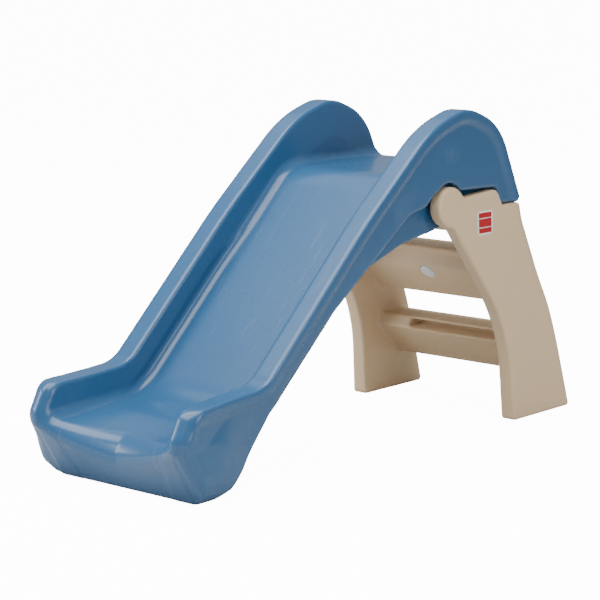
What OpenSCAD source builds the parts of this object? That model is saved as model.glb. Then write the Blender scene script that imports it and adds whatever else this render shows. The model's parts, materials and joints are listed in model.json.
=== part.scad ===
// Toddler slide: a one-piece chute with a platform and side rails, and a two-step
// ladder that hinges on a cross rod under the platform and folds forward below the chute.
// Millimetres, +Z up. The origin is on the floor, at the middle of the overall length
// and width. The chute runs down towards -X, and the ladder stands at +X.

/* [Slide] */
// Length of the slide, from the tip of its nose to its back edge
slide_len = 1088; // [900:1:1320]
// Width over the two side rails
slide_w = 428; // [350:1:520]
// Height of the platform above the floor
deck_h = 567; // [460:1:690]
// Length of the platform, from the top of the chute to the back edge
deck_len = 367; // [320:1:450]
// Height of the highest point of the side rails above the platform
rail_rise = 133; // [100:1:170]
// Width of each side rail
rail_w = 52; // [44:1:64]
// Thickness of the rail wall beside the chute
rail_wall = 12; // [8:1:16]
// Height of the side rail above the run-out
side_rise = 62; // [48:1:76]
// Thickness of the chute
slab_t = 26; // [20:1:32]
// Thickness of the platform
deck_t = 47; // [38:1:58]

/* [Nose] */
// Height of the run-out lip above the floor
lip_h = 125; // [100:1:152]
// Rise of the run-out over its length
runout_rise = 17; // [5:1:30]
// Length of the run-out
runout_len = 227; // [180:1:280]
// Width of the nose
nose_w = 456; // [432:1:550]
// Corner radius of the nose seen from above
nose_corner_r = 38; // [20:1:60]
// Corner radius at the bottom of the nose seen from the front
nose_low_r = 60; // [30:1:80]

/* [Hinge] */
// Distance from the hinge to the back edge of the slide
hinge_back = 257; // [215:1:300]
// Drop of the hinge below the platform
hinge_drop = 69; // [62:1:84]
// Diameter of the hinge rod
rod_d = 14; // [10:0.5:18]
// Running clearance of the rod in its bushings, on the radius
rod_fit = 0.05; // [0.02:0.01:0.1]
// Wall thickness of the hinge bushings
bush_wall = 3; // [2:0.5:4]
// Diameter of the bushing flanges
flange_d = 36; // [30:1:46]
// Thickness of the bushing flanges
flange_t = 9.1; // [7.5:0.1:11]
// Gap between the bushing flanges and the ladder
thrust_gap = 0.4; // [0.2:0.1:1]
// Radius of the ladder's hinge ears
ear_r = 42; // [34:1:52]
// Gap between the ladder's head and the slide around it
fold_gap = 4; // [3:0.5:6]

/* [Ladder] */
// Distance from the hinge to the back of the ladder's feet
foot_reach = 431; // [370:1:520]
// Length of each foot on the floor
foot_len = 213; // [170:1:255]
// Width over the ladder's feet
foot_w = 466; // [440:1:560]
// Thickness of the ladder's legs at the hinge
ear_t = 29; // [24:1:34]
// Thickness of the ladder's legs at the floor
foot_t = 39; // [30:1:46]
// Height of the upper step
upper_h = 375; // [320:1:420]
// Height of the lower step
lower_h = 190; // [160:1:228]
// Depth of the upper step's tread
upper_depth = 97; // [80:1:116]
// Depth of the lower step's tread
lower_depth = 89; // [74:1:106]
// Distance that the steps sit in from the back of the legs
step_inset = 17; // [10:1:24]

/* [Small parts] */
// Diameter of the ladder's vent plug
vent_d = 38; // [30:1:46]
// Depth of the vent plug's seat
vent_depth = 5; // [3:0.5:8]
// Diameter of the slide's vent plug
deck_vent_d = 30; // [24:1:38]
// Width of each decal
decal_w = 54; // [44:1:64]
// Height of each decal
decal_h = 52; // [42:1:60]
// Thickness of each decal
decal_t = 0.4; // [0.2:0.1:0.8]

/* [Output] */
// The piece to build

/* [Hidden] */
$fn = 72;

blue = [0.36, 0.52, 0.68];
tan = [0.78, 0.74, 0.66];
steel = [0.72, 0.73, 0.75];
nylon = [0.93, 0.93, 0.91];

// Whole object
overall_len = slide_len - hinge_back + foot_reach;
x_mid = overall_len / 2;
half_w = slide_w / 2;
rail_in = half_w - rail_w;
wall_out = rail_in + rail_wall;
hinge_h = deck_h - hinge_drop;
hinge_x = slide_len - hinge_back - x_mid;

// Chute line, from the lip to the platform
lip_x = 41 - x_mid;
runout_x = lip_x + runout_len;
runout_h = lip_h + runout_rise;
back_x = slide_len - x_mid;
top_x = back_x - deck_len;
chute_run = top_x - runout_x;
chute_rise = deck_h - runout_h;
chute_slope = chute_rise / chute_run;
chute_len = norm([chute_run, chute_rise]);
slab_drop = slab_t * chute_len / chute_run;
function chute_z(x) = runout_h + (x - runout_x) * chute_slope;

// Nose
tip_x = -x_mid;
foot_front = tip_x + 71;
foot_back = tip_x + 93;
cheek_x = tip_x + 110;
cheek_back = tip_x + 205;

// Back end of the slide
back_slope = 2.115;
deck_back = back_x - 42;
deck_under = deck_h - deck_t;
notch_top = deck_h - 42.5;
tab_bottom = hinge_h - 12;
tab_front = back_x - 72;
notch_r = ear_r + 2 * fold_gap;

// Ladder lines
foot_x = hinge_x + foot_reach;
foot_front_x = foot_x - foot_len;
knee_h = lower_h + 15;
knee_x = foot_x - 57;
front_knee_x = foot_front_x - 20;
shoulder_x = hinge_x + 246;
shoulder_h = hinge_h - 15;
leg_slope = (knee_x - shoulder_x) / (shoulder_h - knee_h);
function leg_back(z) = z > knee_h
  ? shoulder_x + (shoulder_h - z) * leg_slope
  : knee_x + (knee_h - z) * (foot_x - knee_x) / knee_h;
head_h = notch_top - fold_gap;
beam_front = hinge_x + 80;
beam_back = hinge_x + 170;
beam_h = 77;
pad_gap = 0.3;
beam_top = deck_under - 12;
wall_low = beam_top + 2.5;

// Hinge pieces, stacked outwards from the rail wall to the ladder's ear
bush_bore = rod_d + 2 * rod_fit;
bush_d = bush_bore + 2 * bush_wall;
washer_t = 1.5;
flange_out = wall_out + flange_t;
ear_in = flange_out + thrust_gap + washer_t;
ear_out = ear_in + ear_t;
socket_wall = 3;
socket_d = rod_d + 2 * socket_wall;
socket_len = ear_t - 6;
rod_end = ear_in + socket_len - socket_wall;
boss_r = flange_d / 2 + 10;

// Decals lie on the sloping outer face of the legs
splay = atan2(foot_w / 2 - ear_out, hinge_h);
decal_drop = 45;
decal_x = hinge_x + 117;

// A corner list is [x, z, radius]; each corner becomes an arc of short sides.
function unit(v) = v / norm(v);
function wrap(a) = a > 180 ? a - 360 : a < -180 ? a + 360 : a;
function corner(a, b, c) =
  b[2] == 0 ? [[b[0], b[1]]] :
  let (
    p = [b[0], b[1]],
    u = unit([a[0], a[1]] - p),
    v = unit([c[0], c[1]] - p),
    half = acos(max(-1, min(1, u * v))) / 2,
    limit = 0.49 * min(norm([a[0], a[1]] - p), norm([c[0], c[1]] - p)),
    t = min(b[2] / tan(half), limit),
    r = t * tan(half),
    m = p + unit(u + v) * (r / sin(half)),
    s = p + u * t - m,
    e = p + v * t - m,
    a0 = atan2(s[1], s[0]),
    turn = wrap(atan2(e[1], e[0]) - a0),
    n = max(2, ceil(abs(turn) / 9))
  )
  [for (i = [0 : n]) m + r * [cos(a0 + turn * i / n), sin(a0 + turn * i / n)]];
function path(pts) = [
  for (i = [0 : len(pts) - 1])
    each corner(pts[(i + len(pts) - 1) % len(pts)], pts[i], pts[(i + 1) % len(pts)])
];

// Spreads a side outline across the width, from y0 to y1.
module across(y0, y1) {
  translate([0, y1, 0])
    rotate([90, 0, 0])
      linear_extrude(y1 - y0)
        children();
}

module both_sides() {
  children();
  mirror([0, 1, 0]) children();
}

module along_y(d, y0, y1) {
  translate([hinge_x, y1, hinge_h])
    rotate([90, 0, 0])
      cylinder(d = d, h = y1 - y0);
}

// Top edge of the side rails, from the nose to the back edge
function rail_top() = [
  [tip_x - 4.3, lip_h + 3, 40],
  [tip_x + 19, lip_h + side_rise + 2, 30],
  [runout_x - 28, runout_h + side_rise, 90],
  [runout_x + 0.605 * chute_run, runout_h + 0.605 * chute_rise + 89, 1500],
  [top_x + 41, deck_h + rail_rise - 31, 430],
  [top_x + 165, deck_h + rail_rise + 6, 120],
  [back_x - 84, deck_h + rail_rise - 37, 195],
  [back_x - 5, hinge_h - 2, 6]
];

// Lower edge of the outer part of the rails, from the back edge to the nose
function skirt() = [
  [back_x - 14, tab_bottom, 6],
  [tab_front, tab_bottom, 5],
  [tab_front - 9, hinge_h + 13, 10],
  [tab_front - 17, notch_top, 14],
  [hinge_x - 45, notch_top + 6, 0],
  [hinge_x - 78, hinge_h + 6, 20],
  [hinge_x - 132, hinge_h - 5, 60],
  [runout_x + 178, chute_z(runout_x + 178) + 7, 900],
  [runout_x + 37, chute_z(runout_x + 37) + 22, 400],
  [runout_x - 93, lip_h - 75, 100],
  [foot_back, 0, 8],
  [foot_front, 0, 15]
];

// Inner wall of each rail, which carries the hinge
function inner_wall() = [
  [beam_back + 8, wall_low, 8],
  [hinge_x + 42, wall_low, 12],
  [hinge_x + 38, hinge_h - 38, 24],
  [hinge_x - 10, hinge_h - 53, 60],
  [hinge_x - 112, hinge_h - 68, 300],
  [hinge_x - 320, hinge_h - 137, 100],
  [runout_x + 37, chute_z(runout_x + 37) + 22, 400],
  [runout_x - 93, lip_h - 75, 100],
  [foot_back, 0, 8],
  [foot_front, 0, 15]
];

// Section of the chute and the platform
function slab() = [
  [lip_x - 32, lip_h - 12, 30],
  [lip_x, lip_h, 30],
  [runout_x, runout_h, 150],
  [top_x, deck_h, 120],
  [deck_back, deck_h, 12],
  [deck_back + (deck_h - deck_under) / back_slope, deck_under, 0],
  [hinge_x - 60, deck_under, 60],
  [top_x, deck_h - 50, 200],
  [runout_x + 20, chute_z(runout_x + 20) - slab_drop, 150],
  [runout_x - 60, runout_h - slab_t - 8, 60],
  [foot_back + 20, 14, 20],
  [foot_back, 0, 4],
  [foot_front, 0, 15]
];

// Plan of the slide, with its wider nose
function plan() = [
  [tip_x - 6, -nose_w / 2, nose_corner_r],
  [cheek_x, -nose_w / 2, 60],
  [cheek_back, -half_w, 120],
  [back_x + 20, -half_w, 0],
  [back_x + 20, half_w, 0],
  [cheek_back, half_w, 120],
  [cheek_x, nose_w / 2, 60],
  [tip_x - 6, nose_w / 2, nose_corner_r]
];

// View from the front, with rounded lower corners on the nose
function front() = [
  [-nose_w / 2, 0, nose_low_r],
  [nose_w / 2, 0, nose_low_r],
  [nose_w / 2, deck_h + 2 * rail_rise, 0],
  [-nose_w / 2, deck_h + 2 * rail_rise, 0]
];

// Rubbing pads under the platform, which rest on the ladder's top beam
module pads() {
  pad_l = 50;
  pad_w = 30;
  both_sides()
    translate([beam_front + 20, rail_in - 70, beam_top + pad_gap])
      cube([pad_l, pad_w, deck_under - beam_top - pad_gap + 2]);
}

module slide_body() {
  color(blue)
    difference() {
      intersection() {
        union() {
          both_sides() {
            difference() {
              across(wall_out, nose_w / 2)
                polygon(path(concat(rail_top(), skirt())));
              along_y(2 * notch_r, wall_out, nose_w / 2 + 1);
            }
            across(rail_in, wall_out)
              polygon(path(concat(rail_top(), [
                [deck_back + (deck_h - deck_under) / back_slope, deck_under, 0]
              ], inner_wall())));
            along_y(2 * boss_r, rail_in, wall_out);
          }
          across(-rail_in, rail_in)
            polygon(path(slab()));
          pads();
        }
        linear_extrude(deck_h + 2 * rail_rise)
          polygon(path(plan()));
        rotate([90, 0, 90])
          translate([0, 0, -slide_len])
            linear_extrude(2 * slide_len)
              polygon(path(front()));
      }
      both_sides()
        along_y(bush_d, rail_in - 1, wall_out + 1);
      translate([top_x + 60, 0, deck_under - 1])
        cylinder(d = deck_vent_d, h = vent_depth + 1);
    }
}

// Side outline of a ladder leg, with its head and its foot
function leg() = [
  [hinge_x - 5, hinge_h - ear_r + 0.5, 0],
  [hinge_x + 8, hinge_h - ear_r - 5, 20],
  [front_knee_x, knee_h + 6, 700],
  [foot_front_x, 0, 8],
  [foot_x + 2.5, 0, 8],
  [knee_x, knee_h, 1000],
  [shoulder_x, shoulder_h, 8],
  [tab_front + 9, shoulder_h - 6, 12],
  [tab_front - fold_gap + 1, hinge_h - 10, 12],
  [tab_front - 11 - fold_gap, hinge_h + 12, 12],
  [tab_front - 21 - fold_gap, head_h, 16],
  [hinge_x + 48, head_h - 8, 20],
  [hinge_x + 20, hinge_h + 30, 0],
  [hinge_x - 10, hinge_h, 0]
];

// Section across a leg: upright at the hinge, and splayed below it
function leg_section() = [
  [ear_in, deck_h],
  [ear_out, deck_h],
  [ear_out, hinge_h],
  [foot_w / 2, 0],
  [foot_w / 2 - foot_t, 0],
  [ear_in, hinge_h]
];

// Each step is a block with a sloping front face.
function step(top, depth, lip, drop, run) =
  let (back = leg_back(top) - step_inset, front = back - depth, low = top - drop)
  [
    [front, top, 5],
    [front - lip, low + run, 8],
    [front - lip + run, low, 10],
    [leg_back(low) - step_inset, low, 10],
    [back, top, 8]
  ];
upper_drop = 121;
upper_run = 78;
lower_drop = 102;
lower_run = 76;
upper_front = leg_back(upper_h) - step_inset - upper_depth;
vent_x = upper_front - 3 + 0.25 * upper_run;
vent_z = upper_h - upper_drop + 0.75 * upper_run;

// Places a child in the sloping front face of the upper step, facing out of it.
module on_upper_face() {
  translate([vent_x, 0, vent_z])
    rotate([0, -135, 0])
      children();
}

module ladder() {
  color(tan)
    difference() {
      union() {
        both_sides()
          intersection() {
            across(ear_in - 20, foot_w / 2)
              union() {
                polygon(path(leg()));
                translate([hinge_x, hinge_h])
                  circle(ear_r);
              }
            rotate([90, 0, 90])
              translate([0, 0, hinge_x - 2 * ear_r])
                linear_extrude(2 * foot_reach)
                  polygon(leg_section());
          }
        across(-ear_in - 1, ear_in + 1)
          polygon(path([
            [beam_front, beam_top, 10],
            [beam_front, beam_top - beam_h, 12],
            [beam_back, beam_top - beam_h, 12],
            [beam_back, beam_top, 10]
          ]));
        across(foot_t - foot_w / 2, foot_w / 2 - foot_t)
          union() {
            polygon(path(step(upper_h, upper_depth, 3, upper_drop, upper_run)));
            polygon(path(step(lower_h, lower_depth, 11, lower_drop, lower_run)));
          }
      }
      both_sides()
        along_y(socket_d, ear_in - 1, ear_in + socket_len);
      on_upper_face()
        translate([0, 0, -vent_depth])
          cylinder(d = vent_d, h = vent_depth + 10);
    }
}

// The rod is fast in the ladder's sockets and turns in the slide's bushings.
module hinge_rod() {
  color(steel)
    along_y(rod_d, -rod_end, rod_end);
}

module bushing() {
  color(nylon)
    difference() {
      union() {
        along_y(bush_d, rail_in, wall_out + 1);
        along_y(flange_d, wall_out, flange_out);
      }
      along_y(bush_bore, rail_in - 1, flange_out + 1);
    }
}

module bushing_left() bushing();
module bushing_right() mirror([0, 1, 0]) bushing();

module rod_socket() {
  color(nylon)
    difference() {
      along_y(socket_d, ear_in, ear_in + socket_len);
      along_y(rod_d, ear_in - 1, rod_end);
    }
}

module rod_socket_left() rod_socket();
module rod_socket_right() mirror([0, 1, 0]) rod_socket();

module washer() {
  color(steel)
    difference() {
      along_y(flange_d - 4, ear_in - washer_t, ear_in);
      along_y(rod_d, ear_in - washer_t - 1, ear_in + 1);
    }
}

module washer_left() washer();
module washer_right() mirror([0, 1, 0]) washer();

module ladder_vent_plug() {
  color(nylon)
    on_upper_face()
      translate([0, 0, -vent_depth])
        union() {
          cylinder(d = vent_d, h = vent_depth);
          translate([0, 0, vent_depth])
            cylinder(d1 = vent_d - 1, d2 = vent_d - 6, h = 1.5);
        }
}

module slide_vent_plug() {
  color(nylon)
    translate([top_x + 60, 0, deck_under])
      cylinder(d = deck_vent_d, h = vent_depth);
}

module decal() {
  color(nylon)
    translate([decal_x, ear_out + decal_drop * tan(splay), hinge_h - decal_drop])
      rotate([90 + splay, 0, 0])
        mirror([0, 0, 1])
          linear_extrude(decal_t)
            polygon(path([
              [-decal_w / 2, -decal_h / 2, 9],
              [decal_w / 2, -decal_h / 2, 9],
              [decal_w / 2, decal_h / 2, 9],
              [-decal_w / 2, decal_h / 2, 9]
            ]));
}

module decal_left() decal();
module decal_right() mirror([0, 1, 0]) decal();

slide_body();
ladder();
hinge_rod();
bushing_left();
bushing_right();
rod_socket_left();
rod_socket_right();
washer_left();
washer_right();
ladder_vent_plug();
slide_vent_plug();
decal_left();
decal_right();
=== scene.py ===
# Looks of a folding toddler slide: moulded blue slide, moulded tan ladder, hinge hardware.
# Metres in the scene; the moulded shapes are worked out in millimetres.
import json
import math

import bpy
import numpy as np
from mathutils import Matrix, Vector


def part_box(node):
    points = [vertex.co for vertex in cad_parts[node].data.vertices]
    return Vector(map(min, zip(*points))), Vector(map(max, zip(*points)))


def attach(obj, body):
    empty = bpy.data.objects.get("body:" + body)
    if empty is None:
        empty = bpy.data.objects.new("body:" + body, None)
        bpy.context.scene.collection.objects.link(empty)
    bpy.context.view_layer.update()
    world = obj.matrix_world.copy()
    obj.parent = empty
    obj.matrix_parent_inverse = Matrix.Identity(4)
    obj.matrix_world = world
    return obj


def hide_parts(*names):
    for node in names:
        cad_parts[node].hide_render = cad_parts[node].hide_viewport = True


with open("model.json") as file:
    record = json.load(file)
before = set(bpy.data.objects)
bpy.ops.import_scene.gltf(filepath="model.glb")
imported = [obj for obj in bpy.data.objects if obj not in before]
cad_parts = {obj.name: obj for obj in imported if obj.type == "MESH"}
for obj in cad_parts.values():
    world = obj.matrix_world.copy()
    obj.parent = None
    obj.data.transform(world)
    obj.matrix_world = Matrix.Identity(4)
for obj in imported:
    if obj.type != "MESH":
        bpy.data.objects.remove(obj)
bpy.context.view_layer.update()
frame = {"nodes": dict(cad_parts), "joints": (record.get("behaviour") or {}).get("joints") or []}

MM = 0.001
HINGE_JOINT = frame["joints"][0]
HINGE_X, HINGE_Z = HINGE_JOINT["pos_m"][0] / MM, HINGE_JOINT["pos_m"][2] / MM
SLIDE_LOW, SLIDE_HIGH = (np.array(c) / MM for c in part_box("slide_body"))
LADDER_LOW, LADDER_HIGH = (np.array(c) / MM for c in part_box("ladder"))
TIP_X = SLIDE_LOW[0]
BACK_X = SLIDE_HIGH[0]
FOOT_X = LADDER_HIGH[0]


# --- side outlines -----------------------------------------------------------------------

def outline(points):
    """Closed side outline from [x, z, radius] corners, as straight runs and true arcs."""
    pts = np.array([p[:2] for p in points], float)
    radii = [max(p[2], 0.5) for p in points]
    x, z = pts.T
    if np.sum(x * np.roll(z, -1) - np.roll(x, -1) * z) < 0:
        pts, radii = pts[::-1], radii[::-1]
    count = len(pts)
    arcs, starts, ends = [], [], []
    for i in range(count):
        corner, before, after = pts[i], pts[i - 1], pts[(i + 1) % count]
        to_before, to_after = before - corner, after - corner
        len_before, len_after = np.hypot(*to_before), np.hypot(*to_after)
        u, v = to_before / len_before, to_after / len_after
        half = math.acos(max(-1.0, min(1.0, float(u @ v)))) / 2
        reach = min(radii[i] / math.tan(half), 0.49 * len_before, 0.49 * len_after)
        starts.append(corner + u * reach)
        ends.append(corner + v * reach)
        if not (u + v).any():
            continue  # the two runs are in line, so there is no arc
        radius = reach * math.tan(half)
        middle = (u + v) / np.hypot(*(u + v))
        centre = corner + middle * radius / math.sin(half)
        convex = (-u[0] * v[1] + u[1] * v[0]) > 0
        arcs.append((centre[0], centre[1], radius, 1.0 if convex else -1.0,
                     -middle[0], -middle[1], math.cos(math.pi / 2 - half)))
    lines = np.array([np.concatenate([ends[i], starts[(i + 1) % count]]) for i in range(count)])
    return lines, np.array(arcs)


def side_distance(shape, x, z):
    """Signed distance from points to a side outline, negative inside."""
    lines, arcs = shape
    best = np.full(x.shape, 1e9)
    signed = np.full(x.shape, 1e9)
    for x0, z0, x1, z1 in lines:
        dx, dz = x1 - x0, z1 - z0
        size = math.hypot(dx, dz)
        if size < 1e-6:
            continue
        dx, dz = dx / size, dz / size
        along = np.clip((x - x0) * dx + (z - z0) * dz, 0, size)
        off_x, off_z = x - x0 - along * dx, z - z0 - along * dz
        dist = np.hypot(off_x, off_z)
        side = np.where(dx * (z - z0) - dz * (x - x0) > 0, -dist, dist)
        near = dist < best
        best = np.where(near, dist, best)
        signed = np.where(near, side, signed)
    for cx, cz, radius, bend, mx, mz, spread in arcs:
        off_x, off_z = x - cx, z - cz
        away = np.hypot(off_x, off_z) + 1e-9
        inside = (off_x * mx + off_z * mz) / away >= spread
        dist = np.where(inside, np.abs(away - radius), 1e9)
        near = dist < best
        best = np.where(near, dist, best)
        signed = np.where(near, bend * (away - radius), signed)
    return signed


# --- soft joins --------------------------------------------------------------------------

def smooth(low, high, value):
    """0 at low and 1 at high, with an even start and end between them."""
    t = np.clip((value - low) / (high - low), 0, 1)
    return t * t * (3 - 2 * t)


def both(a, b, radius):
    """Inside a and inside b, with the edge between them rounded to the radius."""
    u, v = np.maximum(a + radius, 0), np.maximum(b + radius, 0)
    return np.minimum(np.maximum(a, b), -radius) + np.hypot(u, v)


def rolled(a, b, radius, cosine):
    """Inside a and inside b, two planes at an angle, with a true arc between them."""
    u, v = a + radius, b + radius
    away = np.maximum(u * u + v * v - 2 * u * v * cosine, 0) / (1 - cosine ** 2)
    on_arc = (u > v * cosine) & (v > u * cosine)
    return np.where(on_arc, np.sqrt(away) - radius, np.maximum(a, b))


def either(a, b, radius):
    """Inside a or inside b, with the inner corner filled to the radius."""
    u, v = np.maximum(radius - a, 0), np.maximum(radius - b, 0)
    return np.maximum(np.minimum(a, b), radius) - np.hypot(u, v)


# --- the slide ---------------------------------------------------------------------------

HALF_W = 214.0
RAIL_IN = 162.0
WALL_OUT = 174.0
WALL_MID = (RAIL_IN + WALL_OUT) / 2
LIP_X, LIP_H = TIP_X + 41, 125.0
RUN_X, RUN_H = LIP_X + 227, 142.0
TOP_X, DECK_H = BACK_X + 6 - 367, 567.0
CHUTE_SLOPE = (DECK_H - RUN_H) / (TOP_X - RUN_X)
SLAB_T = 26.0
DECK_UNDER = 520.0
NOTCH_TOP = 524.5
TAB_FRONT = BACK_X + 6 - 72
TAB_BOTTOM = HINGE_Z - 12


def chute_z(x):
    """Height of the straight chute's surface at x."""
    return RUN_H + (x - RUN_X) * CHUTE_SLOPE


RAIL_TOP = [
    (TIP_X - 4.3, 128, 40), (TIP_X + 30, 191, 30), (RUN_X - 28, RUN_H + 62, 90),
    (-89, 488, 1500), (131, 669, 430), (255, 706, 120), (373, 663, 195), (452, 496, 6),
]
SKIRT = [
    (443, TAB_BOTTOM, 6), (TAB_FRONT, TAB_BOTTOM, 5), (TAB_FRONT - 9, HINGE_Z + 13, 10),
    (TAB_FRONT - 17, NOTCH_TOP, 14), (HINGE_X - 45, NOTCH_TOP + 6, 2),
    (HINGE_X - 78, HINGE_Z + 6, 20), (HINGE_X - 132, HINGE_Z - 5, 60),
    (RUN_X + 178, chute_z(RUN_X + 178) + 7, 900), (RUN_X + 37, chute_z(RUN_X + 37) + 22, 400),
    (RUN_X - 93, 50, 100), (TIP_X + 93, 0, 8), (TIP_X + 71, 0, 15),
]
INNER_LOW = [
    (378, 510.5, 8), (HINGE_X + 42, 510.5, 12), (HINGE_X + 38, HINGE_Z - 38, 24),
    (HINGE_X - 10, HINGE_Z - 53, 60), (HINGE_X - 112, HINGE_Z - 68, 300),
    (HINGE_X - 320, HINGE_Z - 137, 100), (RUN_X + 37, chute_z(RUN_X + 37) - 16, 200),
    (RUN_X - 93, 50, 100), (TIP_X + 93, 0, 8), (TIP_X + 71, 0, 15),
]
FLOOR_LINE = [
    (TIP_X - 200, LIP_H - 17.8, 1), (RUN_X, RUN_H, 150), (TOP_X, DECK_H, 120),
    (415, DECK_H, 12), (440, DECK_UNDER, 6), (440, 200, 1), (TIP_X - 200, -300, 1),
]
SLAB_UNDER = [
    (600, DECK_UNDER, 1), (HINGE_X - 60, DECK_UNDER, 60), (TOP_X, DECK_H - 50, 200),
    (RUN_X + 20, chute_z(RUN_X + 20) - SLAB_T * math.hypot(1, CHUTE_SLOPE), 150),
    (RUN_X - 60, RUN_H - SLAB_T - 8, 60), (TIP_X + 113, 14, 20), (TIP_X + 93, 0, 4),
    (TIP_X + 71, 0, 1), (TIP_X - 200, 0, 1), (TIP_X - 200, 900, 1), (600, 900, 1),
]

OUTER_SHAPE = outline(RAIL_TOP + SKIRT)
INNER_SHAPE = outline(RAIL_TOP + [(437, DECK_UNDER, 1)] + INNER_LOW)
FLOOR_SHAPE = outline(FLOOR_LINE)
UNDER_SHAPE = outline(SLAB_UNDER)
RIM_SHAPE = outline(RAIL_TOP + [(470, -400, 1), (TIP_X + 306, -400, 1)])
NOSE_FOOT_X = TIP_X + 71
FACE_DIR = np.array([TIP_X - 4.3 - NOSE_FOOT_X, 128.0])
FACE_DIR /= np.hypot(*FACE_DIR)
NOSE_FLARE = 14.0
NOSE_LEAN = 10.0
NOSE_LOW_R = 56.0
LIP_COSINE = -0.44
LIP_R, LIP_EXTRA_R = 20.0, 26.0
DISH_DEPTH, DISH_HALF_W = 18.0, 158.0
BAND_DEPTH = 7.0
NOTCH_R, BOSS_R, BUSHING_R = 50.0, 28.0, 10.05
PAD_X, PAD_Y, PAD_HALF_L, PAD_HALF_W = 325, 107, 25, 15
PAD_UNDER, PAD_TOP = 508.3, 522
VENT_X, VENT_R, VENT_TOP = TOP_X + 60, 15, DECK_UNDER + 5


def slide_lines(x, z):
    """What depends on the side view alone."""
    face = -(x - NOSE_FOOT_X) * FACE_DIR[1] + z * FACE_DIR[0]
    shapes = (OUTER_SHAPE, INNER_SHAPE, FLOOR_SHAPE, UNDER_SHAPE, RIM_SHAPE)
    return tuple(side_distance(s, x, z) for s in shapes) + (face,)


def slide_shape(x, y, z, lines):
    """Signed distance to the slide, in millimetres, negative inside."""
    outer, inner, floor, under, rim, face = lines
    across = np.abs(y)
    axle = np.hypot(x - HINGE_X, z - HINGE_Z)
    tip = smooth(TIP_X + 64, TIP_X + 26, x)
    lean = NOSE_LEAN * smooth(TIP_X + 170, TIP_X + 40, x)
    cheek = smooth(TIP_X + 215, TIP_X + 85, x) * np.clip((184 - z) / 120, 0, 1)
    relief = BAND_DEPTH * smooth(18, 32, -rim) * (1 - np.minimum(1.6 * cheek, 0.8))
    flare = np.maximum(lean * 0.8, NOSE_FLARE * cheek)
    beside = both(outer, across - (HALF_W + flare - relief), 6 + 27 * tip)
    beside = np.maximum(beside, WALL_OUT - 2 + lean - across)
    beside = both(beside, NOTCH_R - axle, 4)
    draft = 0.12 * np.clip(-inner, 0, 80)
    under_floor = 45 * smooth(-3, -40, floor)
    wall = both(inner, RAIL_IN + lean - draft - under_floor - across, 6 + 16 * tip)
    wall = np.maximum(wall, across - WALL_OUT - lean)
    boss = np.maximum(axle - BOSS_R, np.abs(across - WALL_MID) - (WALL_OUT - RAIL_IN) / 2)
    wall = np.minimum(wall, boss)
    rail = np.minimum(beside, wall)
    middle = np.clip(1 - across / 172, 0, 1)
    dish = DISH_DEPTH * np.clip(1 - (across / DISH_HALF_W) ** 2, 0, 1)
    dish = dish * smooth(TIP_X + 165, TIP_X + 30, x)
    slab = rolled(floor + dish, face, LIP_R + LIP_EXTRA_R * middle, LIP_COSINE)
    slab = both(slab, under, 4)
    slab = np.maximum(slab, across - WALL_OUT - lean + 2)
    body = either(rail, slab, 5 + 17 * smooth(-26, -6, floor))
    body = np.maximum(body, both(across - HALF_W - NOSE_FLARE, -z, NOSE_LOW_R))
    pad = np.maximum(np.abs(x - PAD_X) - PAD_HALF_L, np.abs(across - PAD_Y) - PAD_HALF_W)
    body = np.minimum(body, np.maximum(pad, np.maximum(PAD_UNDER - z, z - PAD_TOP)))
    bore = np.maximum(axle - BUSHING_R, np.abs(across - WALL_MID) - 8)
    vent = np.maximum(np.hypot(x - VENT_X, y) - VENT_R, z - VENT_TOP)
    return np.maximum(body, -np.minimum(bore, vent))


# --- the ladder --------------------------------------------------------------------------

LEG = [
    (HINGE_X - 5, HINGE_Z - 41.5, 1), (HINGE_X + 8, HINGE_Z - 47, 20),
    (FOOT_X - 233, 211, 700), (FOOT_X - 213, 0, 8), (FOOT_X + 2.5, 0, 8),
    (FOOT_X - 57, 205, 1000), (HINGE_X + 246, HINGE_Z - 12.8, 8),
    (TAB_FRONT + 5, HINGE_Z - 14.5, 9),
    (TAB_FRONT - 3, HINGE_Z - 10, 12), (TAB_FRONT - 15, HINGE_Z + 12, 12),
    (TAB_FRONT - 25, NOTCH_TOP - 4, 16), (HINGE_X + 48, NOTCH_TOP - 12, 20),
    (HINGE_X + 20, HINGE_Z + 30, 1), (HINGE_X - 10, HINGE_Z, 1),
]
UPPER_STEP = [
    (381, 375, 6), (382, 365, 3), (391, 361, 5), (385, 326, 12), (457, 254, 10),
    (534, 254, 10), (480, 375, 8),
]
LOWER_STEP = [
    (470, 190, 6), (459, 164, 7), (534, 88, 10), (590, 88, 10), (559, 190, 8),
]
STEP_GROOVE = [(440, 184, 1), (502, 184, 3), (500, 173, 6), (440, 159, 1)]
BEAM = [(280, 508, 10), (280, 431, 12), (370, 431, 12), (370, 508, 10)]
LEG_SHAPE = outline(LEG)
UPPER_SHAPE = outline(UPPER_STEP)
LOWER_SHAPE = outline(LOWER_STEP)
GROOVE_SHAPE = outline(STEP_GROOVE)
BEAM_SHAPE = outline(BEAM)
EAR_R = 42.0
OUTER_SPLAY, INNER_SPLAY = 0.03815, 0.01807
LEG_IN, BEAM_HALF_W, TREAD_HALF_W = 185, 190, 192
VALLEY_X, VALLEY_Z, VALLEY_LEAN, VALLEY_W, VALLEY_DEPTH = 548, 250, 0.46, 11, 5.0
GROOVE_Y, GROOVE_HALF_L = -38, 140
SOCKET_R, SOCKET_OUT = 10, 208
PLUG_X, PLUG_Z, SEAT_R, SEAT_DEPTH = 398.2, 312.5, 19, 5


def ladder_lines(x, z):
    """What depends on the side view alone."""
    return tuple(side_distance(s, x, z)
                 for s in (LEG_SHAPE, UPPER_SHAPE, LOWER_SHAPE, GROOVE_SHAPE, BEAM_SHAPE))


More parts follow.
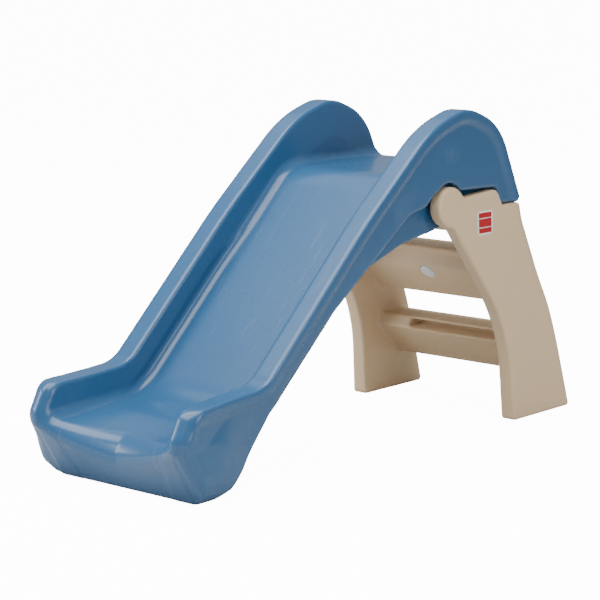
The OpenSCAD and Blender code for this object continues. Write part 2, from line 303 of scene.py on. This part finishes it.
def ladder_shape(x, y, z, lines):
    """Signed distance to the ladder, in millimetres, negative inside."""
    leg, upper, lower, groove, beam = lines
    across = np.abs(y)
    axle = np.hypot(x - HINGE_X, z - HINGE_Z)
    below = np.maximum(HINGE_Z - z, 0)
    leg = either(leg, axle - EAR_R, 8)
    valley = ((x - VALLEY_X) + (z - VALLEY_Z) * VALLEY_LEAN) / VALLEY_W
    dent = VALLEY_DEPTH * np.exp(-valley ** 2) * smooth(235, 330, z) * smooth(482, 440, z)
    outer_face = across - (HALF_W + OUTER_SPLAY * below - dent)
    inner_face = (LEG_IN + INNER_SPLAY * below) - across
    panel = both(leg, outer_face, 4 + 3 * smooth(500, 430, z))
    panel = both(panel, inner_face, 5)
    block = both(np.minimum(upper, beam), across - BEAM_HALF_W, 2)
    groove_end = both(groove, np.abs(y - GROOVE_Y) - GROOVE_HALF_L, 8)
    tread = both(lower, -groove_end, 3)
    tread = both(tread, across - TREAD_HALF_W, 2)
    body = either(panel, np.minimum(block, tread), 11)
    socket = np.maximum(axle - SOCKET_R, across - SOCKET_OUT)
    depth = (PLUG_X - x + PLUG_Z - z) * math.sqrt(0.5)
    aside = np.hypot((x - PLUG_X - z + PLUG_Z) * math.sqrt(0.5), y)
    seat = np.maximum(aside - SEAT_R, -SEAT_DEPTH - depth)
    return np.maximum(body, -np.minimum(socket, seat))


# --- skin of a shape ---------------------------------------------------------------------

def skin(name, lines_of, shape_of, low, high, cell):
    """Closed skin of a signed distance: one point per grid cell, drawn onto the true surface."""
    axes = []
    for lo, hi in zip(low, high):
        first = math.floor((lo - 3 * cell) / cell)
        last = math.ceil((hi + 3 * cell) / cell)
        axes.append((np.arange(first, last + 1) + 0.5) * cell)
    gx, gz = np.meshgrid(axes[0], axes[2], indexing="ij")
    side = lines_of(gx, gz)
    field = shape_of(gx[:, None, :], axes[1][None, :, None], gz[:, None, :],
                     tuple(s[:, None, :] for s in side))
    inside = field < 0
    shape = np.array(field.shape) - 1
    mixed = np.zeros(shape, bool)
    corners = [(i, j, k) for i in (0, 1) for j in (0, 1) for k in (0, 1)]
    part = {}
    for c in corners:
        part[c] = tuple(slice(c[a], c[a] + shape[a]) for a in range(3))
    first = inside[part[(0, 0, 0)]]
    for c in corners[1:]:
        mixed |= inside[part[c]] != first
    cells = np.argwhere(mixed)
    number = np.full(shape, -1, int)
    number[mixed] = np.arange(len(cells))
    total = np.zeros((len(cells), 3))
    hits = np.zeros(len(cells))
    for axis in range(3):
        for c in corners:
            if c[axis]:
                continue
            c2 = list(c)
            c2[axis] = 1
            a = field[tuple((cells + np.array(c)).T)]
            b = field[tuple((cells + np.array(c2)).T)]
            cross = (a < 0) != (b < 0)
            t = np.where(cross, a / np.where(cross, a - b, 1), 0)
            spot = np.tile(np.array(c, float), (len(cells), 1))
            spot[:, axis] = t
            total[cross] += spot[cross]
            hits[cross] += 1
    spots = cells + total / hits[:, None]
    verts = np.stack([axes[a][0] + spots[:, a] * cell for a in range(3)], 1)
    quads = []
    for axis in range(3):
        lo = [slice(1, None)] * 3
        hi = [slice(1, None)] * 3
        lo[axis] = slice(0, -1)
        for a in range(3):
            if a != axis:
                lo[a] = slice(1, -1)
                hi[a] = slice(1, -1)
        va, vb = inside[tuple(lo)], inside[tuple(hi)]
        change = va != vb
        where = np.argwhere(change)
        start = where + np.array([0 if a == axis else 1 for a in range(3)])
        u, v = [a for a in range(3) if a != axis]
        ids = []
        for du, dv in ((1, 1), (0, 1), (0, 0), (1, 0)):
            at = start.copy()
            at[:, u] -= du
            at[:, v] -= dv
            ids.append(number[tuple(at.T)])
        quad = np.stack(ids, 1)
        outward = va[tuple(where.T)]
        if axis == 1:
            outward = ~outward
        quad[~outward] = quad[~outward][:, ::-1]
        quads.append(quad)
    quads = np.concatenate(quads)

    def value(p):
        return shape_of(p[:, 0], p[:, 1], p[:, 2], lines_of(p[:, 0], p[:, 2]))

    def draw(p):
        step = 0.05
        here = lines_of(p[:, 0], p[:, 2])
        base = shape_of(p[:, 0], p[:, 1], p[:, 2], here)
        grad = np.empty_like(p)
        grad[:, 0] = (value(p + [step, 0, 0]) - base) / step
        grad[:, 1] = (shape_of(p[:, 0], p[:, 1] + step, p[:, 2], here) - base) / step
        grad[:, 2] = (value(p + [0, 0, step]) - base) / step
        size = np.maximum(np.sum(grad ** 2, 1), 0.25)
        move = np.clip(base / size, -cell, cell)
        return p - grad * move[:, None], grad / np.sqrt(size)[:, None]

    edges = np.concatenate([quads[:, [i, (i + 1) % 4]] for i in range(4)])
    count = np.bincount(edges.ravel(), minlength=len(verts))
    rounds = 3
    for _ in range(rounds):
        verts, normal = draw(verts)
        around = np.zeros_like(verts)
        for a in range(3):
            around[:, a] = (np.bincount(edges[:, 0], verts[edges[:, 1], a], len(verts))
                            + np.bincount(edges[:, 1], verts[edges[:, 0], a], len(verts)))
        pull = around / count[:, None] - verts
        pull -= normal * np.sum(pull * normal, 1)[:, None]
        verts = verts + 0.5 * pull
    verts, normal = draw(verts)
    mesh = bpy.data.meshes.new(name)
    mesh.from_pydata((verts * MM).tolist(), [], quads.tolist())
    mesh.polygons.foreach_set("use_smooth", [True] * len(mesh.polygons))
    mesh.update()
    piece = bpy.data.objects.new(name, mesh)
    bpy.context.scene.collection.objects.link(piece)
    return piece


CELL = 4.4
slide = skin("slide_moulding", slide_lines, slide_shape, SLIDE_LOW, SLIDE_HIGH, CELL)
ladder = skin("ladder_moulding", ladder_lines, ladder_shape, LADDER_LOW, LADDER_HIGH, CELL)


# --- materials ---------------------------------------------------------------------------

def skin_group():
    """Grain, slow colour drift and faint rubs shared by every moulded and plated surface."""
    tree = bpy.data.node_groups.new("moulded_skin", "ShaderNodeTree")
    face = tree.interface
    for label, kind, value in (
            ("Base", "NodeSocketColor", (0.5, 0.5, 0.5, 1)),
            ("Drift", "NodeSocketColor", (0.5, 0.5, 0.5, 1)),
            ("Drift Scale", "NodeSocketFloat", 3.0),
            ("Drift Amount", "NodeSocketFloat", 0.4),
            ("Grain Scale", "NodeSocketFloat", 400.0),
            ("Roughness Low", "NodeSocketFloat", 0.3),
            ("Roughness High", "NodeSocketFloat", 0.4),
            ("Rub", "NodeSocketFloat", 0.05)):
        socket = face.new_socket(label, in_out="INPUT", socket_type=kind)
        socket.default_value = value
    face.new_socket("Color", in_out="OUTPUT", socket_type="NodeSocketColor")
    face.new_socket("Roughness", in_out="OUTPUT", socket_type="NodeSocketFloat")
    face.new_socket("Height", in_out="OUTPUT", socket_type="NodeSocketFloat")
    nodes, link = tree.nodes, tree.links.new
    enter, leave = nodes.new("NodeGroupInput"), nodes.new("NodeGroupOutput")
    place = nodes.new("ShaderNodeTexCoord")
    drift = nodes.new("ShaderNodeTexNoise")
    drift.inputs["Detail"].default_value = 3.0
    link(place.outputs["Object"], drift.inputs["Vector"])
    link(enter.outputs["Drift Scale"], drift.inputs["Scale"])
    amount = nodes.new("ShaderNodeMath")
    amount.operation = "MULTIPLY"
    link(drift.outputs["Fac"], amount.inputs[0])
    link(enter.outputs["Drift Amount"], amount.inputs[1])
    tint = nodes.new("ShaderNodeMix")
    tint.data_type = "RGBA"
    link(amount.outputs[0], tint.inputs["Factor"])
    link(enter.outputs["Base"], tint.inputs["A"])
    link(enter.outputs["Drift"], tint.inputs["B"])
    rub = nodes.new("ShaderNodeTexNoise")
    rub.inputs["Scale"].default_value = 26.0
    rub.inputs["Detail"].default_value = 6.0
    stretch = nodes.new("ShaderNodeMapping")
    stretch.inputs["Scale"].default_value = (0.35, 2.2, 0.35)
    link(place.outputs["Object"], stretch.inputs["Vector"])
    link(stretch.outputs["Vector"], rub.inputs["Vector"])
    spots = nodes.new("ShaderNodeMapRange")
    spots.inputs["From Min"].default_value = 0.60
    spots.inputs["From Max"].default_value = 0.78
    link(rub.outputs["Fac"], spots.inputs["Value"])
    worn = nodes.new("ShaderNodeMath")
    worn.operation = "MULTIPLY"
    link(spots.outputs["Result"], worn.inputs[0])
    link(enter.outputs["Rub"], worn.inputs[1])
    pale = nodes.new("ShaderNodeMix")
    pale.data_type = "RGBA"
    pale.inputs["B"].default_value = (0.85, 0.87, 0.88, 1)
    link(worn.outputs[0], pale.inputs["Factor"])
    link(tint.outputs["Result"], pale.inputs["A"])
    link(pale.outputs["Result"], leave.inputs["Color"])
    rough = nodes.new("ShaderNodeMapRange")
    link(drift.outputs["Fac"], rough.inputs["Value"])
    rough.inputs["From Min"].default_value = 0.3
    rough.inputs["From Max"].default_value = 0.7
    link(enter.outputs["Roughness Low"], rough.inputs["To Min"])
    link(enter.outputs["Roughness High"], rough.inputs["To Max"])
    rougher = nodes.new("ShaderNodeMath")
    rougher.operation = "ADD"
    link(rough.outputs["Result"], rougher.inputs[0])
    link(worn.outputs[0], rougher.inputs[1])
    link(rougher.outputs[0], leave.inputs["Roughness"])
    grain = nodes.new("ShaderNodeTexNoise")
    grain.inputs["Detail"].default_value = 2.0
    link(place.outputs["Object"], grain.inputs["Vector"])
    link(enter.outputs["Grain Scale"], grain.inputs["Scale"])
    link(grain.outputs["Fac"], leave.inputs["Height"])
    return tree


SKIN_GROUP = skin_group()


def moulded(name, base, drift, group_values, bump=0.1, bump_depth=0.0002, **shader_values):
    """Material around the shared skin group, with its own colours and values."""
    material = bpy.data.materials.new(name)
    material.use_nodes = True
    nodes, link = material.node_tree.nodes, material.node_tree.links.new
    shader = nodes["Principled BSDF"]
    group = nodes.new("ShaderNodeGroup")
    group.node_tree = SKIN_GROUP
    group.inputs["Base"].default_value = (*base, 1)
    group.inputs["Drift"].default_value = (*drift, 1)
    for label, value in group_values.items():
        group.inputs[label].default_value = value
    link(group.outputs["Color"], shader.inputs["Base Color"])
    link(group.outputs["Roughness"], shader.inputs["Roughness"])
    relief = nodes.new("ShaderNodeBump")
    relief.inputs["Strength"].default_value = bump
    relief.inputs["Distance"].default_value = bump_depth
    link(group.outputs["Height"], relief.inputs["Height"])
    link(relief.outputs["Normal"], shader.inputs["Normal"])
    for label, value in shader_values.items():
        shader.inputs[label.replace("_", " ")].default_value = value
    return material


blue = moulded("slide_blue", (0.021, 0.090, 0.203), (0.027, 0.101, 0.222),
               {"Drift Scale": 2.5, "Drift Amount": 0.8, "Grain Scale": 900.0,
                "Roughness Low": 0.24, "Roughness High": 0.30, "Rub": 0.02},
               bump=0.02, Specular_IOR_Level=0.42, Coat_Weight=0.15, Coat_Roughness=0.1)
tan = moulded("ladder_tan", (0.66, 0.49, 0.305), (0.62, 0.455, 0.275),
              {"Drift Scale": 4.0, "Drift Amount": 0.5, "Grain Scale": 1400.0,
               "Roughness Low": 0.48, "Roughness High": 0.58, "Rub": 0.05},
              bump=0.25, bump_depth=0.0003, Specular_IOR_Level=0.35)
steel = moulded("rod_steel", (0.55, 0.56, 0.58), (0.45, 0.46, 0.48),
                {"Drift Scale": 30.0, "Drift Amount": 0.6, "Grain Scale": 2500.0,
                 "Roughness Low": 0.28, "Roughness High": 0.42, "Rub": 0.0},
                bump=0.1, Metallic=1.0)
nylon = moulded("nylon_white", (0.78, 0.77, 0.72), (0.70, 0.69, 0.64),
                {"Drift Scale": 20.0, "Grain Scale": 1200.0,
                 "Roughness Low": 0.42, "Roughness High": 0.5, "Rub": 0.0},
                Subsurface_Weight=0.08)
plug = moulded("plug_white", (0.72, 0.74, 0.75), (0.66, 0.68, 0.68),
               {"Drift Scale": 25.0, "Grain Scale": 1200.0,
                "Roughness Low": 0.4, "Roughness High": 0.5, "Rub": 0.0})


def label_material():
    """Blank sticker: white border and a plain red field with two bars."""
    material = moulded("decal_print", (0.8, 0.8, 0.78), (0.76, 0.76, 0.74),
                       {"Drift Scale": 30.0, "Grain Scale": 1500.0,
                        "Roughness Low": 0.25, "Roughness High": 0.3, "Rub": 0.0},
                       bump=0.02)
    nodes, link = material.node_tree.nodes, material.node_tree.links.new
    shader = nodes["Principled BSDF"]
    low, high = (np.array(c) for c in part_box("decal_left"))
    mid, half = (low + high) / 2, (high - low) / 2
    place = nodes.new("ShaderNodeTexCoord")
    axes = nodes.new("ShaderNodeSeparateXYZ")
    link(place.outputs["Object"], axes.inputs[0])
    masks = []
    for socket, centre, reach in (("X", mid[0], half[0] - 0.004), ("Z", mid[2], half[2] - 0.004)):
        off = nodes.new("ShaderNodeMath")
        off.operation = "SUBTRACT"
        off.inputs[1].default_value = centre
        link(axes.outputs[socket], off.inputs[0])
        size = nodes.new("ShaderNodeMath")
        size.operation = "ABSOLUTE"
        link(off.outputs[0], size.inputs[0])
        test = nodes.new("ShaderNodeMath")
        test.operation = "LESS_THAN"
        test.inputs[1].default_value = reach
        link(size.outputs[0], test.inputs[0])
        masks.append((off, test))
    field = nodes.new("ShaderNodeMath")
    field.operation = "MULTIPLY"
    link(masks[0][1].outputs[0], field.inputs[0])
    link(masks[1][1].outputs[0], field.inputs[1])
    bars = nodes.new("ShaderNodeMath")
    bars.operation = "PINGPONG"
    bars.inputs[1].default_value = 0.010
    link(masks[1][0].outputs[0], bars.inputs[0])
    bar = nodes.new("ShaderNodeMath")
    bar.operation = "GREATER_THAN"
    bar.inputs[1].default_value = 0.0091
    link(bars.outputs[0], bar.inputs[0])
    ink = nodes.new("ShaderNodeMix")
    ink.data_type = "RGBA"
    ink.inputs["A"].default_value = (0.40, 0.004, 0.008, 1)
    ink.inputs["B"].default_value = (0.75, 0.72, 0.68, 1)
    link(bar.outputs[0], ink.inputs["Factor"])
    mix = nodes.new("ShaderNodeMix")
    mix.data_type = "RGBA"
    link(field.outputs[0], mix.inputs["Factor"])
    group = next(n for n in nodes if n.type == "GROUP")
    link(group.outputs["Color"], mix.inputs["A"])
    link(ink.outputs["Result"], mix.inputs["B"])
    link(mix.outputs["Result"], shader.inputs["Base Color"])
    return material


sticker = label_material()
slide.data.materials.append(blue)
ladder.data.materials.append(tan)
NODE_FINISH = {
    "hinge_rod": steel, "washer_left": steel, "washer_right": steel,
    "bushing_left": nylon, "bushing_right": nylon,
    "rod_socket_left": nylon, "rod_socket_right": nylon,
    "ladder_vent_plug": plug, "slide_vent_plug": plug,
    "decal_left": sticker, "decal_right": sticker,
    "slide_body": blue, "ladder": tan,
}
for node_name, finish in NODE_FINISH.items():
    node = frame["nodes"][node_name]
    for holder in node.material_slots:
        holder.material = finish

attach(slide, "slide")
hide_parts("slide_body")
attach(ladder, "ladder")
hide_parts("ladder")


# --- studio ------------------------------------------------------------------------------

def seen_by_camera(tree, target, bright):
    """Raises a strength for the camera alone, so that the backdrop is white but lights softly."""
    path = tree.nodes.new("ShaderNodeLightPath")
    level = tree.nodes.new("ShaderNodeMapRange")
    level.inputs["To Min"].default_value = target.default_value
    level.inputs["To Max"].default_value = bright
    tree.links.new(path.outputs["Is Camera Ray"], level.inputs["Value"])
    tree.links.new(level.outputs["Result"], target)


def softbox(name, direction, distance, size, power):
    """Rectangular light that faces the object from a direction."""
    aim = Vector((-0.05, 0, 0.3))
    light = bpy.data.lights.new(name, "AREA")
    light.shape = "RECTANGLE"
    light.size, light.size_y = size
    light.energy = power
    lamp = bpy.data.objects.new(name, light)
    lamp.location = aim + Vector(direction).normalized() * distance
    lamp.rotation_euler = (-Vector(direction)).to_track_quat("-Z", "Y").to_euler()
    lamp.visible_camera = False
    bpy.context.scene.collection.objects.link(lamp)


def studio():
    """White paper floor and sky, and four soft lights."""
    scene = bpy.context.scene
    reach = 30.0
    floor_mesh = bpy.data.meshes.new("floor")
    floor_mesh.from_pydata([(-reach, -reach, 0), (reach, -reach, 0), (reach, reach, 0),
                            (-reach, reach, 0)], [], [(0, 1, 2, 3)])
    floor = bpy.data.objects.new("floor", floor_mesh)
    scene.collection.objects.link(floor)
    paper = bpy.data.materials.new("floor_paper")
    paper.use_nodes = True
    shader = paper.node_tree.nodes["Principled BSDF"]
    shader.inputs["Base Color"].default_value = (0.62, 0.62, 0.62, 1)
    shader.inputs["Roughness"].default_value = 0.9
    shader.inputs["Specular IOR Level"].default_value = 0.1
    shader.inputs["Emission Color"].default_value = (1, 1, 1, 1)
    shader.inputs["Emission Strength"].default_value = 0.0
    seen_by_camera(paper.node_tree, shader.inputs["Emission Strength"], 13.0)
    floor_mesh.materials.append(paper)
    world = scene.world or bpy.data.worlds.new("studio")
    scene.world = world
    world.use_nodes = True
    sky = world.node_tree.nodes["Background"]
    sky.inputs["Color"].default_value = (1, 1, 1, 1)
    sky.inputs["Strength"].default_value = 0.4
    seen_by_camera(world.node_tree, sky.inputs["Strength"], 16.0)
    softbox("top_box", (-0.3, 0.1, 0.95), 3.5, (4.0, 3.6), 290)
    softbox("front_box", (-0.70, 0.64, 0.28), 3.0, (1.4, 1.2), 42)
    softbox("back_strip", (0.3, 0.5, 0.81), 3.0, (2.0, 1.4), 8)
    softbox("side_fill", (-0.1, -0.9, 0.35), 3.5, (2.0, 2.0), 46)


def camera():
    """Long lens, a little above the object, on the chute's side of the front corner."""
    turn, rise = math.radians(-49.23), math.radians(9.964)
    back = Vector((math.sin(turn) * math.cos(rise), -math.cos(turn) * math.cos(rise),
                   math.sin(rise)))
    lens = bpy.data.cameras.new("camera")
    lens.lens, lens.sensor_width = 132.0, 36.0
    lens.clip_end = 60
    eye = bpy.data.objects.new("camera", lens)
    eye.location = (-3.4979, -2.9789, 1.1085)
    eye.rotation_euler = (-back).to_track_quat("-Z", "Y").to_euler()
    bpy.context.scene.collection.objects.link(eye)
    bpy.context.scene.camera = eye


studio()
camera()
